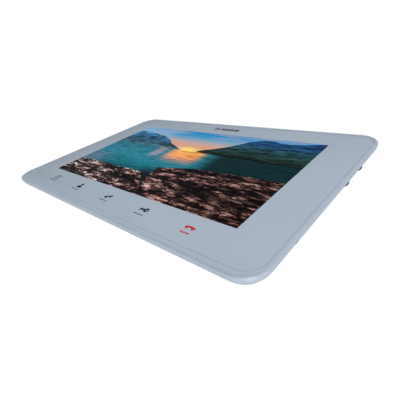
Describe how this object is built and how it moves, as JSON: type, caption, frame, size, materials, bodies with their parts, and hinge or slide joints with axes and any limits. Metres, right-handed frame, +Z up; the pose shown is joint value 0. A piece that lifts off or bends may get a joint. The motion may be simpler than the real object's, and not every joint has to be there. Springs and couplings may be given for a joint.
{
  "type": "video intercom monitor",
  "caption": "Slim wall-mounted indoor video intercom monitor with a seven-inch landscape display, touch keys, side thumbwheels and a hook-on steel bracket.",
  "frame": {"origin": "centre of the wall screw pattern on the bracket's wall face, which is also the centre of the body's width and height", "axes": "+X to the right as seen from the front, +Z up, -Y out of the wall towards the person at the monitor"},
  "size_m": [0.1974, 0.02, 0.1266],
  "materials": {
    "panel": "clear acrylic, printed silver-blue from behind, glossy",
    "housing": "satin silver-blue paint on moulded ABS",
    "cover": "fine spark-eroded moulded ABS",
    "dial": "black moulded acetal, knurled rim",
    "steel": "zinc-plated sheet steel",
    "screw": "nickel-plated steel",
    "dark_screw": "blackened steel",
    "brass": "turned brass",
    "glass": "display glass with polarisers",
    "diffuser": "white film",
    "acrylic": "clear acrylic",
    "white_plastic": "white moulded plastic",
    "ivory_plastic": "nylon connector body",
    "green_plastic": "moulded terminal block",
    "board": "glass epoxy with green solder mask",
    "chip": "black moulded epoxy",
    "can": "aluminium can",
    "film": "polyimide film",
    "foam": "black closed-cell foam",
    "rubber": "black rubber",
    "tape": "double-sided tape",
    "paper": "pressed paper",
    "magnet": "ferrite and plated yoke",
    "wire": "insulated wire"
  },
  "bodies": {
    "bracket": {"wall_bracket": "steel"},
    "monitor": {"front_panel": "panel", "panel_tape": "tape", "display_gasket": "foam", "front_housing": "housing", "lcd_bezel": "steel", "lcd_cell": "glass", "diffuser_sheets": "diffuser", "light_guide": "acrylic", "led_strip": "white_plastic", "backlight_tray": "white_plastic", "chassis_plate": "steel", "chassis_screws": "screw", "touch_board": "board", "touch_pads": "foam", "touch_screws": "screw", "touch_cable": "white_plastic", "microphone": "can", "microphone_boot": "rubber", "microphone_leads": "wire", "main_board": "board", "board_chips": "chip", "board_capacitors": "can", "board_standoffs": "brass", "board_screws": "screw", "bus_connectors": "ivory_plastic", "power_terminal": "green_plastic", "display_cable": "film", "dial_board": "board", "dial_board_screw": "screw", "dial_leads": "white_plastic", "brightness_pot": "can", "volume_pot": "can", "speaker_frame": "steel", "speaker_cone": "paper", "speaker_magnet": "magnet", "speaker_gasket": "foam", "speaker_leads": "wire", "rear_cover": "cover", "side_screws": "dark_screw"},
    "brightness_wheel": {"brightness_dial": "dial"},
    "volume_wheel": {"volume_dial": "dial"}
  },
  "joints": [
    {"name": "lift_off", "type": "slide", "parent": "bracket", "child": "monitor", "axis": [0, 0, 1], "range_m": [0, 0.008]},
    {"name": "brightness_turn", "type": "hinge", "parent": "monitor", "child": "brightness_wheel", "pos_m": [0.08788, -0.0102, 0.0425], "axis": [0, 1, 0], "range_deg": [-135, 135]},
    {"name": "volume_turn", "type": "hinge", "parent": "monitor", "child": "volume_wheel", "pos_m": [0.08788, -0.0102, 0.0243], "axis": [0, 1, 0], "range_deg": [-135, 135]}
  ]
}
